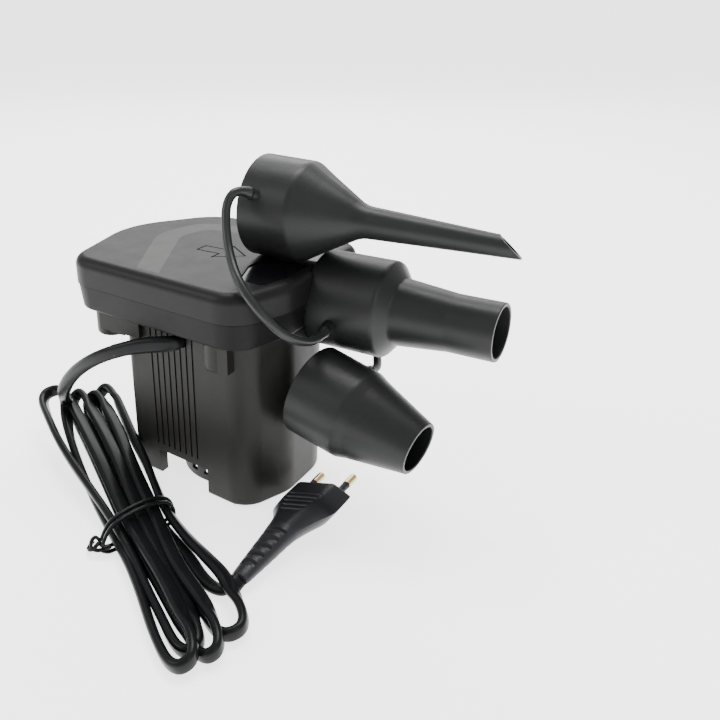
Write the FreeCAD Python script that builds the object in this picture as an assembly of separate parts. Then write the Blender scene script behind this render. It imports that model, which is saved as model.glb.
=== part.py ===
import FreeCAD, Part
import math
import os

# Electric air mattress pump: a flat head over an upright motor housing, a round outlet with
# three push-on nozzles on straps, and a mains cord wound into a tied hank.
# Millimetres. The origin is on the floor under the motor axis. +X is the way the air blows,
# -Y is the side with the cord, +Z is up.

# Driving dimensions
HEAD_TOP = 114.8
HEAD_SEAM = 101.0
HEAD_BOTTOM = 88.0
HEAD_EDGE = 5.0
WALL = 2.2
FLOOR_GAP = 1.5
SKIRT_TOP = 16.0
BASE_PLATE_TOP = 17.6
SKIRT_WALL = 6.0
HOUSING_FRONT = 40.9
HOUSING_HALF_WIDTH = 36.0

OUTLET_Y = 18.0
OUTLET_Z = 96.2
OUTLET_RADIUS = 18.9
OUTLET_BORE = 16.9
OUTLET_END = 72.0
HEAD_FRONT = 44.0
RECESS_BACK = 41.0
RECESS_RADIUS = 24.0
COLLAR_RADIUS = 26.6

SOCKET_RADIUS = 18.95
NEEDLE_REST_GAP = 0.3

EYE_RADIUS = 19.0
INLET_RADIUS = 18.9
INLET_COLLAR = 19.4
INLET_BORE = 16.8
INLET_BOTTOM = 3.0
CUP_RADIUS = 29.0
CUP_BOTTOM = 2.0
CUP_SLOTS = 20
GROOVE_BOTTOM = 19.8
GROOVE_PITCH = 3.85

SHAFT_RADIUS = 2.5
BEARING_BORE = 2.53
BEARING_RADIUS = 5.0
CAN_RADIUS = 21.0
CAN_WALL = 1.6
CAN_BOTTOM = 27.0
CAN_TOP = 78.0
IMPELLER_RADIUS = 36.0
IMPELLER_BOTTOM = 95.2
IMPELLER_TOP = 108.0
BLADE_COUNT = 11
SLOT_COUNT = 12
BRACKET_POSTS = 3
POST_CIRCLE = 29.0

CORD_RADIUS = 3.0
EXIT_X = -6.0
EXIT_Z = 82.3
PLUG_X = 60.5
PLUG_FACE_Y = -19.0
PLUG_Z = 9.6
PLUG_ROLL = -16.0
PIN_RADIUS = 2.0
SLEEVE_RADIUS = 1.8
PIN_LENGTH = 19.0
PIN_SPACING = 18.6

# The head seen from above, as corners with their rounding: the tail is the first corner.
HEAD_PLAN = [
    (-69.5, -41.3, 15), (34, -49, 17), (HEAD_FRONT, -18, 26), (HEAD_FRONT, 50, 10),
    (-50, 61, 30), (-82.5, 16, 42),
]
# The housing's near wall is not quite square to the others: it follows the head's edge.
NEAR_LEFT = (-45.0, -33.0)
NEAR_RIGHT = (31.0, -40.5)
HOUSING_PLAN = [
    (*NEAR_LEFT, 7), (*NEAR_RIGHT, 14), (HOUSING_FRONT, -15, 24), (HOUSING_FRONT, 15, 24),
    (26, 36, 14), (-45, 36, 7),
]
# Screw bosses outside the top of the housing: centre, radius, lowest point.
BOSSES = [
    (17.0, -36.5, 8.2, 74.5),
    (-57.0, -27.0, 8.0, 73.0),
    (17.0, 38.0, 8.2, 74.5),
    (-57.0, 30.0, 8.0, 73.0),
]

X = FreeCAD.Vector(1, 0, 0)
Y = FreeCAD.Vector(0, 1, 0)
Z = FreeCAD.Vector(0, 0, 1)
ORIGIN = FreeCAD.Vector(0, 0, 0)


def vec(x, y, z):
    return FreeCAD.Vector(x, y, z)


def box(x0, x1, y0, y1, z0, z1):
    return Part.makeBox(x1 - x0, y1 - y0, z1 - z0, vec(x0, y0, z0))


def rod(radius, start, end):
    line = end - start
    return Part.makeCylinder(radius, line.Length, start, line)


def pillar(radius, x, y, z0, z1):
    return Part.makeCylinder(radius, z1 - z0, vec(x, y, z0), Z)


def ring(outer, inner, z0, z1, x=0, y=0):
    return pillar(outer, x, y, z0, z1).cut(pillar(inner, x, y, z0 - 1, z1 + 1))


def join(shapes):
    whole = shapes[0]
    for shape in shapes[1:]:
        whole = whole.fuse(shape)
    return whole.removeSplitter()


def remove(shape, tools):
    for tool in tools:
        shape = shape.cut(tool)
    return shape


def group(shapes):
    return Part.makeCompound(shapes)


def polar(radius, degrees, z=0.0):
    angle = math.radians(degrees)
    return vec(radius * math.cos(angle), radius * math.sin(angle), z)


def turned(shape, count, start=0.0):
    """Copies of a shape, evenly spaced about the motor axis."""
    copies = []
    for index in range(count):
        copy = shape.copy()
        copy.rotate(ORIGIN, Z, start + 360.0 * index / count)
        copies.append(copy)
    return copies


def rounded_wire(corners, place):
    """A closed wire through corners (u, v, radius); place(u, v) gives the point in space."""
    count = len(corners)
    edges = []
    cuts = []
    for index, (u, v, radius) in enumerate(corners):
        before = corners[index - 1]
        after = corners[(index + 1) % count]
        to_before = FreeCAD.Vector(before[0] - u, before[1] - v, 0).normalize()
        to_after = FreeCAD.Vector(after[0] - u, after[1] - v, 0).normalize()
        here = FreeCAD.Vector(u, v, 0)
        if radius <= 0:
            cuts.append((here, None, here))
            continue
        half = to_before.getAngle(to_after) / 2
        reach = radius / math.tan(half)
        middle = (to_before + to_after).normalize() * (radius / math.sin(half) - radius)
        cuts.append((here + to_before * reach, here + middle, here + to_after * reach))
    for index, (start, middle, end) in enumerate(cuts):
        following = cuts[(index + 1) % count][0]
        if middle is not None:
            edges.append(Part.Arc(place(start.x, start.y), place(middle.x, middle.y),
                                  place(end.x, end.y)).toShape())
        if (following - end).Length > 1e-6:
            edges.append(Part.LineSegment(place(end.x, end.y),
                                          place(following.x, following.y)).toShape())
    return Part.Wire(edges)


def plan_wire(corners, z):
    return rounded_wire(corners, lambda u, v: vec(u, v, z))


def prism(corners, z0, z1):
    return Part.Face(plan_wire(corners, z0)).extrude(vec(0, 0, z1 - z0))


def inset(corners, distance):
    """The same convex plan with every side moved inwards."""
    count = len(corners)
    lines = []
    for index in range(count):
        start = FreeCAD.Vector(corners[index][0], corners[index][1], 0)
        end = FreeCAD.Vector(corners[(index + 1) % count][0], corners[(index + 1) % count][1], 0)
        along = (end - start).normalize()
        lines.append((start + FreeCAD.Vector(-along.y, along.x, 0) * distance, along))
    moved = []
    for index in range(count):
        p, a = lines[index - 1]
        q, b = lines[index]
        step = ((q.x - p.x) * b.y - (q.y - p.y) * b.x) / (a.x * b.y - a.y * b.x)
        moved.append((p.x + a.x * step, p.y + a.y * step,
                      max(corners[index][2] - distance, 0.8)))
    return moved


def flat_edges(shape, z):
    found = []
    for edge in shape.Edges:
        bounds = edge.BoundBox
        if abs(bounds.ZMin - z) < 1e-4 and abs(bounds.ZMax - z) < 1e-4:
            found.append(edge)
    return found


def spin(corners, place):
    """Turn a profile of (along, radius, rounding) about the X axis, then place it."""
    wire = rounded_wire(corners, lambda u, v: vec(u, 0, v))
    solid = Part.Face(wire).revolve(ORIGIN, X, 360)
    solid.Placement = place
    return solid


def aimed(point, direction):
    return FreeCAD.Placement(point, FreeCAD.Rotation(X, direction))


def route_wire(points, name, sharpest=1.0):
    """Straight runs joined by tangent arcs, each as large as its two runs allow."""
    spots = [vec(*point) for point in points]
    ends = []
    arcs = []
    radii = []
    for before, here, after in zip(spots, spots[1:], spots[2:]):
        inward = (before - here).normalize()
        onward = (after - here).normalize()
        half_turn = (math.pi - inward.getAngle(onward)) / 2
        reach = 0.45 * min((before - here).Length, (after - here).Length)
        radius = reach / math.tan(half_turn)
        radii.append(radius)
        bulge = radius / math.cos(half_turn) - radius
        arcs.append((here + inward * reach, here + (inward + onward).normalize() * bulge,
                     here + onward * reach))
    edges = []
    start = spots[0]
    for first, middle, last in arcs:
        edges.append(Part.LineSegment(start, first).toShape())
        edges.append(Part.Arc(first, middle, last).toShape())
        start = last
    edges.append(Part.LineSegment(start, spots[-1]).toShape())
    print(name, "radii", " ".join("%.0f" % radius for radius in radii))
    return Part.Wire(edges)


def route_tube(points, radius, name):
    wire = route_wire(points, name)
    start = vec(*points[0])
    first_run = vec(*points[1]) - start
    circle = Part.Wire([Part.Circle(start, first_run, radius).toShape()])
    tube = wire.makePipeShell([circle], True, False)
    ideal = math.pi * radius ** 2 * wire.Length
    print(name, "length %.1f" % wire.Length, "volume ratio %.4f" % (tube.Volume / ideal))
    return tube


def screw(point, direction, head_radius, shank_radius, length, head_height):
    """A pan-head screw: its head sits behind the point, its shank ahead of it."""
    head = Part.makeCylinder(head_radius, head_height, point - direction * head_height, direction)
    head = head.makeFillet(head_height * 0.4, [head.Edges[2]])
    shank = Part.makeCylinder(shank_radius, length, point, direction)
    slot_width = head_radius * 0.32
    slot = Part.makeBox(head_radius * 1.3, slot_width, head_height * 0.5,
                        vec(-head_radius * 0.65, -slot_width / 2, 0))
    cross = slot.copy()
    cross.rotate(ORIGIN, Z, 90)
    drive = slot.fuse(cross)
    drive.Placement = FreeCAD.Placement(point - direction * head_height,
                                        FreeCAD.Rotation(Z, direction))
    return head.fuse(shank).cut(drive)


# Housing and head shells

def boss_post(x, y, radius, bottom):
    post = pillar(radius, x, y, bottom, HEAD_BOTTOM)
    return post.makeFillet(1.6, flat_edges(post, bottom))


def near_wall(x):
    """Where the outside of the near wall is, at a distance along the housing."""
    slope = (NEAR_RIGHT[1] - NEAR_LEFT[1]) / (NEAR_RIGHT[0] - NEAR_LEFT[0])
    return NEAR_LEFT[1] + slope * (x - NEAR_LEFT[0])


def boss_web(x, y, radius, bottom):
    """The block that ties a boss to the housing wall."""
    if x < 0:
        tail = box(x, -44.0, y - radius + 1.0, y + radius - 1.0, bottom + 2.5, HEAD_BOTTOM)
        if y > 0:
            return tail
        return tail.fuse(box(x, -32.0, -36.4, -30.0, bottom + 4.5, HEAD_BOTTOM))
    side = math.copysign(1, y)
    inner = 33.0 * side
    outer = y + (radius - 0.6) * side
    web = box(x, x + radius + 0.4, min(inner, outer), max(inner, outer), bottom + 0.8, HEAD_BOTTOM)
    return web


def motor_housing():
    shell = prism(HOUSING_PLAN, FLOOR_GAP, HEAD_BOTTOM)
    shell = shell.makeFillet(2.0, flat_edges(shell, FLOOR_GAP))
    shell = join([shell] + [boss_post(*boss) for boss in BOSSES]
                 + [boss_web(*boss) for boss in BOSSES])
    inner = prism(inset(HOUSING_PLAN, WALL), BASE_PLATE_TOP, HEAD_BOTTOM + 1)
    shell = shell.cut(inner)
    shell = shell.cut(prism(inset(HOUSING_PLAN, SKIRT_WALL), -1, SKIRT_TOP))
    shell = shell.cut(pillar(INLET_COLLAR + 0.1, 0, 0, 0, BASE_PLATE_TOP + 1))
    arches = [(-25.8, 7.2, -60, 60), (-60, 0, -22, 22)]
    for x0, x1, y0, y1 in arches:
        shell = shell.cut(box(x0, x1, y0, y1, -1, SKIRT_TOP - 0.01))
    for x, y, radius, bottom in BOSSES:
        shell = shell.cut(pillar(1.7, x, y, bottom - 1, HEAD_BOTTOM + 1))
        shell = shell.cut(pillar(3.6, x, y, bottom - 1, bottom + 6))
    for index in range(8):
        x = -26.0 + GROOVE_PITCH * index
        for y in (near_wall(x), HOUSING_HALF_WIDTH):
            shell = shell.cut(box(x - 0.5, x + 0.5, y - 0.8, y + 0.8, GROOVE_BOTTOM,
                                  HEAD_BOTTOM - 2))
    shell = shell.cut(rod(3.4, vec(EXIT_X, -30, EXIT_Z), vec(EXIT_X, -40, EXIT_Z)))
    return shell.cut(outlet_tube(OUTLET_RADIUS + 0.1))


def foot_pads():
    spots = [(22, -35.2), (20, 33), (-38, -30.6), (-38, 32.5)]
    pads = []
    for x, y in spots:
        pad = pillar(2.0, x, y, 0, FLOOR_GAP)
        pads.append(pad.makeFillet(0.8, flat_edges(pad, 0)))
    return group(pads)


def inlet_grille():
    sleeve = ring(INLET_RADIUS, INLET_BORE, INLET_BOTTOM, SKIRT_TOP)
    collar = ring(INLET_COLLAR, INLET_BORE, SKIRT_TOP, BASE_PLATE_TOP)
    flange = ring(INLET_COLLAR + 3.5, INLET_BORE, BASE_PLATE_TOP, BASE_PLATE_TOP + 1.5)
    bars = []
    for index in range(-2, 3):
        offset = index * 6.4
        half = math.sqrt((INLET_BORE + 1) ** 2 - offset ** 2)
        bars.append(box(-half, half, offset - 0.9, offset + 0.9, 11.0, 13.5))
    spine = box(-0.9, 0.9, -INLET_BORE - 1, INLET_BORE + 1, 11.0, 13.5)
    cup = ring(CUP_RADIUS, CUP_RADIUS - 2.0, CUP_BOTTOM, SKIRT_TOP)
    slot = box(CUP_RADIUS - 3, CUP_RADIUS + 1, -2.2, 2.2, CUP_BOTTOM + 3.5, SKIRT_TOP - 3.5)
    cup = remove(cup, turned(slot, CUP_SLOTS))
    plate = ring(CUP_RADIUS, INLET_BORE, SKIRT_TOP - 1.6, SKIRT_TOP)
    return join([sleeve, collar, flange, spine, cup, plate] + bars)


def collar_disc(radius, x0, x1):
    """A disc about the outlet's axis, where the nozzle's rim stands in the head's front."""
    return rod(radius, vec(x0, OUTLET_Y, OUTLET_Z), vec(x1, OUTLET_Y, OUTLET_Z))


def add_collar(shell, outline):
    """A wall behind the round recess in the head's front, then the recess itself."""
    wall = collar_disc(COLLAR_RADIUS, RECESS_BACK - WALL, HEAD_FRONT + 1).common(outline)
    return shell.fuse(wall).removeSplitter().cut(collar_disc(RECESS_RADIUS, RECESS_BACK, 60))


def outlet_tube(radius):
    return rod(radius, vec(HEAD_FRONT - 5, OUTLET_Y, OUTLET_Z), vec(OUTLET_END, OUTLET_Y, OUTLET_Z))


def head_tray():
    upper = inset(HEAD_PLAN, 0.5)
    lower = inset(HEAD_PLAN, 1.9)
    wires = [plan_wire(lower, HEAD_BOTTOM), plan_wire(upper, HEAD_SEAM - 0.4)]
    tray = Part.makeLoft(wires, True, True)
    tray = tray.makeFillet(1.5, flat_edges(tray, HEAD_BOTTOM))
    outline = tray.copy()
    tray = tray.cut(prism(inset(HEAD_PLAN, 1.9 + WALL), HEAD_BOTTOM + WALL, HEAD_SEAM + 1))
    guide = ring(EYE_RADIUS + 1.6, EYE_RADIUS, HEAD_BOTTOM + WALL, IMPELLER_BOTTOM - 0.8)
    tray = add_collar(join([tray, guide]), outline)
    tray = join([tray, outlet_tube(OUTLET_RADIUS)])
    tray = tray.cut(pillar(EYE_RADIUS, 0, 0, HEAD_BOTTOM - 1, IMPELLER_BOTTOM))
    tray = tray.cut(rod(OUTLET_BORE, vec(HEAD_FRONT - 8, OUTLET_Y, OUTLET_Z),
                        vec(OUTLET_END + 1, OUTLET_Y, OUTLET_Z)))
    for x, y, radius, bottom in BOSSES:
        tray = tray.cut(pillar(1.7, x, y, HEAD_BOTTOM - 1, HEAD_BOTTOM + WALL + 1))
    for post in range(BRACKET_POSTS):
        spot = polar(POST_CIRCLE, 90 + 120 * post)
        tray = tray.cut(pillar(1.3, spot.x, spot.y, HEAD_BOTTOM - 1, HEAD_BOTTOM + WALL + 1))
    return tray


def head_gasket():
    outer = prism(inset(HEAD_PLAN, 1.0), HEAD_SEAM - 0.4, HEAD_SEAM)
    inner = prism(inset(HEAD_PLAN, 2.9), HEAD_SEAM - 1, HEAD_SEAM + 1)
    gasket = outer.cut(inner).cut(collar_disc(COLLAR_RADIUS, 30, 60))
    return gasket


def band_plan():
    """A bent band over the cover: from the cord side, round the tail, along the far side."""
    outer = [(-29, -37.5, 0), (-55, 10, 24), (-48, 41, 20), (12, 44, 0)]
    inner = [(12, 34, 0), (-37, 31, 12), (-42, 13, 14), (-15, -38.7, 0)]
    return outer + inner


def panel_plan():
    return [(21.5, -28, 2), (34.5, -28, 2), (38.4, -14, 4), (38.4, 47, 2), (22, 47, 3),
            (14.5, 36, 4), (14.5, -9, 3)]


def arrow_grooves(depth):
    """An outlined arrow that points the way the air blows."""
    points = [(-21, -1), (-21, 6), (-8, 6), (-8, 12), (5, 2.5), (-8, -7), (-8, -1)]
    cuts = []
    for start, end in zip(points, points[1:] + points[:1]):
        first = vec(start[0], start[1], HEAD_TOP - depth)
        last = vec(end[0], end[1], HEAD_TOP - depth)
        span = last - first
        groove = Part.makeBox(span.Length + 0.8, 0.8, depth + 1, vec(-0.4, -0.4, 0))
        groove.Placement = FreeCAD.Placement(first, FreeCAD.Rotation(X, span))
        cuts.append(groove)
    return cuts


def cover_post(x, y):
    height = HEAD_TOP - WALL
    post = pillar(3.6, x, y, HEAD_BOTTOM + WALL, height + 0.5)
    return post.cut(pillar(1.25, x, y, HEAD_BOTTOM, height - 4))


def top_cover():
    cover = prism(HEAD_PLAN, HEAD_SEAM, HEAD_TOP)
    cover = cover.makeFillet(HEAD_EDGE, flat_edges(cover, HEAD_TOP))
    outline = cover.copy()
    cover = cover.cut(prism(inset(HEAD_PLAN, WALL), HEAD_SEAM - 1, HEAD_TOP - WALL))
    cover = join([cover] + [cover_post(x, y) for x, y, radius, bottom in BOSSES])
    cover = add_collar(cover, outline)
    cover = cover.cut(outlet_tube(OUTLET_RADIUS + 0.1))
    cover = cover.cut(box(HEAD_FRONT - 5, HEAD_FRONT + 1, OUTLET_Y - OUTLET_RADIUS - 0.1,
                          OUTLET_Y + OUTLET_RADIUS + 0.1, HEAD_SEAM - 1, OUTLET_Z + 5.5))
    cover = cover.cut(prism(band_plan(), HEAD_TOP - 0.5, HEAD_TOP + 1))
    cover = cover.cut(prism(panel_plan(), HEAD_TOP - 1.2, HEAD_TOP + 1))
    return remove(cover, arrow_grooves(0.5))


def cover_band():
    return prism(band_plan(), HEAD_TOP - 0.5, HEAD_TOP)


def outlet_panel():
    panel = prism(panel_plan(), HEAD_TOP - 1.2, HEAD_TOP - 0.6)
    return panel.cut(collar_disc(COLLAR_RADIUS, RECESS_BACK - WALL, HEAD_FRONT))


def cover_screws():
    screws = []
    for x, y, radius, bottom in BOSSES:
        screws.append(screw(vec(x, y, bottom + 6), Z, 3.2, 1.2, 26, 2.4))
    return group(screws)


# Motor

def motor_can():
    can = pillar(CAN_RADIUS, 0, 0, CAN_BOTTOM, CAN_TOP)
    can = can.makeFillet(2.0, flat_edges(can, CAN_TOP))
    can = can.cut(pillar(CAN_RADIUS - CAN_WALL, 0, 0, CAN_BOTTOM - 1, CAN_TOP - CAN_WALL))
    can = can.cut(pillar(BEARING_RADIUS, 0, 0, CAN_TOP - 4, CAN_TOP + 1))
    for side in (-1, 1):
        can = can.cut(pillar(1.5, side * 12.5, 0, CAN_TOP - 4, CAN_TOP + 1))
    return can


def end_bell():
    bell = pillar(CAN_RADIUS, 0, 0, 23, CAN_BOTTOM)
    plug = pillar(CAN_RADIUS - CAN_WALL - 0.05, 0, 0, CAN_BOTTOM, 30)
    hub = pillar(8, 0, 0, 20.5, 23)
    bell = join([bell, plug, hub])
    bell = bell.cut(pillar(BEARING_RADIUS, 0, 0, 21.5, 31))
    bell = bell.cut(pillar(3.2, 0, 0, 19, 22))
    for angle in (0, 180):
        spot = polar(14.5, angle)
        bell = bell.cut(pillar(3.0, spot.x, spot.y, 22, 31))
    return bell


def field_magnets():
    magnet = ring(CAN_RADIUS - CAN_WALL, 16.0, 40, 72)
    gap = box(-30, 30, -6, 6, 39, 73)
    halves = magnet.cut(gap)
    return group(halves.Solids)


def bearing(z0, z1):
    return ring(BEARING_RADIUS, BEARING_BORE, z0, z1)


def armature_core():
    core = ring(15.0, SHAFT_RADIUS, 42, 70)
    slot = pillar(1.8, 11.6, 0, 41, 71).fuse(box(11.6, 16, -0.6, 0.6, 41, 71))
    return remove(core, turned(slot, SLOT_COUNT))


def armature_winding():
    rods = turned(pillar(1.6, 11.6, 0, 41, 71), SLOT_COUNT)
    crowns = []
    for z0, z1 in ((70.2, 74.5), (37.5, 41.8)):
        crown = ring(13.6, 4.6, z0, z1)
        edges = flat_edges(crown, z0) + flat_edges(crown, z1)
        crowns.append(crown.makeFillet(1.4, edges))
    return join(crowns + rods)


def commutator():
    drum = ring(7.0, SHAFT_RADIUS, 30.8, 37.0)
    slit = box(5.4, 8, -0.25, 0.25, 30, 38)
    return remove(drum, turned(slit, SLOT_COUNT))


def brush_parts():
    """Holders, carbon blocks and springs, on two opposite sides."""
    holder = box(9.0, 18.6, -3.4, 3.4, 30.0, 36.6).cut(box(8, 17.6, -2.5, 2.5, 31.0, 35.7))
    block = box(7.1, 14.0, -2.45, 2.45, 31.05, 35.65).cut(ring(7.1, 3, 30, 37))
    spring = Part.makeHelix(0.85, 3.2, 1.6)
    spring.Placement = aimed(vec(14.2, 0, 33.35), X).multiply(
        FreeCAD.Placement(ORIGIN, FreeCAD.Rotation(Z, X)))
    start = spring.Edges[0].valueAt(spring.Edges[0].FirstParameter)
    tangent = spring.Edges[0].tangentAt(spring.Edges[0].FirstParameter)
    wire = Part.Wire([Part.Circle(start, tangent, 0.2).toShape()])
    coil = Part.Wire(spring.Edges).makePipeShell([wire], True, True)
    parts = []
    for shape in (holder, block, coil):
        parts.append(group(turned(shape, 2, 90)))
    return parts


def motor_shaft():
    shaft = pillar(SHAFT_RADIUS, 0, 0, 21.6, 111.8)
    return shaft.makeFillet(0.5, flat_edges(shaft, 111.8) + flat_edges(shaft, 21.6))


def curved_blade():
    """A backward-curved blade, 1.2 thick, from the eye to the rim."""
    start = polar(15, 0)
    middle = polar(26, 14)
    end = polar(IMPELLER_RADIUS - 0.3, 38)
    back = Part.Arc(start, middle, end).toShape()
    front = Part.Arc(polar(15, 5), polar(26, 17), polar(IMPELLER_RADIUS - 0.3, 40)).toShape()
    edges = [back, Part.LineSegment(end, polar(IMPELLER_RADIUS - 0.3, 40)).toShape(), front,
             Part.LineSegment(polar(15, 5), start).toShape()]
    face = Part.Face(Part.Wire(Part.__sortEdges__(edges)))
    face.translate(vec(0, 0, IMPELLER_BOTTOM + 0.6))
    return face.extrude(vec(0, 0, IMPELLER_TOP - IMPELLER_BOTTOM - 1.2))


def impeller():
    back = ring(IMPELLER_RADIUS, SHAFT_RADIUS, IMPELLER_TOP - 1.4, IMPELLER_TOP)
    shroud = ring(IMPELLER_RADIUS, EYE_RADIUS, IMPELLER_BOTTOM, IMPELLER_BOTTOM + 1.2)
    hub = ring(6.5, SHAFT_RADIUS, 97, IMPELLER_TOP)
    return join([back, shroud, hub] + turned(curved_blade(), BLADE_COUNT))


def impeller_nut():
    corners = [(4.6 * math.cos(math.radians(60 * k)), 4.6 * math.sin(math.radians(60 * k)), 0)
               for k in range(6)]
    nut = prism(corners, IMPELLER_TOP, IMPELLER_TOP + 3.2)
    return nut.cut(pillar(SHAFT_RADIUS, 0, 0, IMPELLER_TOP - 1, IMPELLER_TOP + 4))


def motor_bracket():
    plate = ring(17, BEARING_RADIUS + 0.6, CAN_TOP, CAN_TOP + 2.2)
    arm = box(12, POST_CIRCLE, -4.0, 4.0, CAN_TOP, CAN_TOP + 2.2)
    post = pillar(4.0, POST_CIRCLE, 0, CAN_TOP, HEAD_BOTTOM)
    arms = turned(arm.fuse(post), BRACKET_POSTS, 90)
    bracket = join([plate] + arms)
    for spot in turned(pillar(1.4, POST_CIRCLE, 0, CAN_TOP - 1, HEAD_BOTTOM + 1), 3, 90):
        bracket = bracket.cut(spot)
    for side in (-1, 1):
        bracket = bracket.cut(pillar(1.6, side * 12.5, 0, CAN_TOP - 1, CAN_TOP + 4))
    return bracket


def motor_screws():
    return group([screw(vec(side * 12.5, 0, CAN_TOP + 2.2), -Z, 2.8, 1.35, 5.5, 1.8)
                  for side in (-1, 1)])


def bracket_screws():
    screws = []
    for post in range(BRACKET_POSTS):
        spot = polar(POST_CIRCLE, 90 + 120 * post, CAN_TOP)
        screws.append(screw(spot, Z, 2.8, 1.2, HEAD_BOTTOM - CAN_TOP + 4.0, 1.8))
    return group(screws)


# Electrical parts

def rectifier_board():
    return box(-39.6, -38.0, -15, 15, 30, 62)


def board_posts():
    posts = []
    for y, z in ((-12, 33), (12, 33), (-12, 59), (12, 59)):
        posts.append(rod(2.2, vec(-42.8, y, z), vec(-39.6, y, z)))
    return group(posts)


def bridge_diodes():
    diodes = []
    for index in range(4):
        y = -10.5 + 7.0 * index
        diodes.append(rod(1.5, vec(-36.4, y, 51), vec(-36.4, y, 57)))
    return group(diodes)


def suppression_capacitor():
    block = box(-38.0, -31.0, -8, 8, 36, 47)
    return block.makeFillet(0.8, [edge for edge in block.Edges])


def thermal_fuse():
    body = rod(1.8, vec(-25.4, -8, 50), vec(-25.4, -8, 60))
    return body.makeFillet(0.5, body.Edges[:1])


def wire_pair(points, apart, name):
    """Two thin insulated wires, each moved from the middle line by half of apart."""
    wires = []
    for index, side in enumerate((-0.5, 0.5)):
        moved = [tuple(vec(*point) + apart * side) for point in points]
        wires.append(route_tube(moved, 0.9, "%s %d" % (name, index)))
    return group(wires)


def mains_wires():
    points = [(EXIT_X, -31.9, EXIT_Z - 1), (-6.6, -28.6, 80.6), (-12, -26.5, 77), (-22, -27, 70),
              (-31, -25.5, 64), (-36.2, -19, 60)]
    return wire_pair(points, vec(0, 0, 2.6), "mains wires")


def motor_wires():
    points = [(-37.5, -1, 33), (-33, 0, 29.5), (-27, 1.2, 23.6), (-20, 0.6, 21.0), (-14.5, 0, 22.6)]
    return wire_pair(points, vec(0, 2.4, 0), "motor wires")


def cord_boot():
    """Strain relief: a flange inside the wall and a tapered boot that turns towards the tail."""
    flange = rod(5.0, vec(EXIT_X, -33.9, EXIT_Z), vec(EXIT_X, -32.2, EXIT_Z))
    neck = rod(3.4, vec(EXIT_X, -33.9, EXIT_Z), vec(EXIT_X, -37.5, EXIT_Z))
    start = vec(EXIT_X, -37.5, EXIT_Z)
    end = vec(*BOOT_END)
    end_way = vec(*CORD_ROUTE[1]) - end
    middle = vec(EXIT_X - 3.2, -42.6, EXIT_Z - 0.2)
    stations = [(start, -Y, 5.0), (middle, vec(-0.62, -0.78, -0.06), 4.3), (end, end_way, 3.5)]
    wires = [Part.Wire([Part.Circle(spot, way, radius).toShape()])
             for spot, way, radius in stations]
    boot = Part.makeLoft(wires, True, False)
    return join([flange, neck, boot])


BOOT_END = (-20.5, -46.5, 80.6)

# The cord, from the boot down to the hank. All points are centres of the cord.
CORD_ROUTE = [
    BOOT_END,
    (-32.0, -51.0, 77.2),
    (-45.5, -53.0, 70.6),
    (-59.5, -51.5, 61.0),
    (-72.0, -48.0, 50.0),
    (-82.0, -43.5, 38.6),
    (-88.0, -38.0, 30.5),
    (-91.5, -33.0, 25.0),
]


def cord_lead():
    return route_tube(CORD_ROUTE, CORD_RADIUS, "cord")


# The hank lies from its far end, beside the tail, towards the corner below the outlet.
HANK_START = vec(-104, -27, 0)
HANK_ALONG = vec(0.821, -0.571, 0)
HANK_ACROSS = vec(0.571, 0.821, 0)
HANK_BOTTOM = 1.4
# Each slice: distance along, lowest and highest across, top
HANK_SLICES = [
    (-3, -8, 14, 26),
    (9, -10.5, 27, 26),
    (60, -7.5, 28, 19),
    (104, -4, 33, 13),
    (116, -4, 33, 13),
    (165, -1, 42.5, 13),
    (190, 0, 40.5, 13),
    (207, 6, 29, 13),
]


def hank_point(along, across, z):
    spot = HANK_START + HANK_ALONG * along + HANK_ACROSS * across
    return vec(spot.x, spot.y, z)


def hank_slice(along, low, high, bottom, top):
    points = [hank_point(along, low, bottom), hank_point(along, high, bottom),
              hank_point(along, high, top), hank_point(along, low, top)]
    return Part.makePolygon(points + points[:1])


def cord_hank():
    pieces = []
    for near, far in zip(HANK_SLICES, HANK_SLICES[1:]):
        wires = [hank_slice(near[0], near[1], near[2], HANK_BOTTOM, near[3]),
                 hank_slice(far[0], far[1], far[2], HANK_BOTTOM, far[3])]
        pieces.append(Part.makeLoft(wires, True, True))
    return join(pieces)


def cord_tie():
    """A flat twist tie round the pinched middle of the hank."""
    along, low, high, top = HANK_SLICES[3]
    outer = [hank_slice(place, low - 1.2, high + 1.2, HANK_BOTTOM - 1.2, top + 1.2)
             for place in (along + 4, along + 9)]
    inner = [hank_slice(place, low, high, HANK_BOTTOM, top)
             for place in (along + 3, along + 10)]
    return Part.makeLoft(outer, True, True).cut(Part.makeLoft(inner, True, True))


# The plug

def laid_plug(shape):
    """Turn a plug part that is modelled flat, with its pins along +Y, to how it lies."""
    shape.rotate(ORIGIN, Y, PLUG_ROLL)
    shape.translate(vec(PLUG_X, PLUG_FACE_Y, PLUG_Z))
    return shape


def plug_body():
    plan = [(-17.6, 0, 1.5), (-17.6, -15, 4), (-9.5, -33, 5), (-6.5, -36, 1),
            (6.5, -36, 1), (9.5, -33, 5), (17.6, -15, 4), (17.6, 0, 1.5)]
    slab = prism(plan[::-1], -6.85, 6.85)
    section = [(-17.7, 0), (-10, 6.85), (10, 6.85), (17.7, 0), (10, -6.85), (-10, -6.85)]
    points = [vec(x, 1, z) for x, z in section]
    hexagon = Part.Face(Part.makePolygon(points + points[:1])).extrude(vec(0, -40, 0))
    body = slab.common(hexagon)
    for side in (-1, 1):
        for index in range(5):
            y = -13.0 - 3.6 * index
            half = 8.5 - 0.9 * index
            body = body.cut(box(-half, half, y - 0.6, y + 0.6, side * 6.35 - 0.5, side * 6.35 + 0.6))
        body = body.cut(rod(1.5, vec(side * PIN_SPACING / 2, 1, 0), vec(side * PIN_SPACING / 2, -9, 0)))
    return laid_plug(body)


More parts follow.
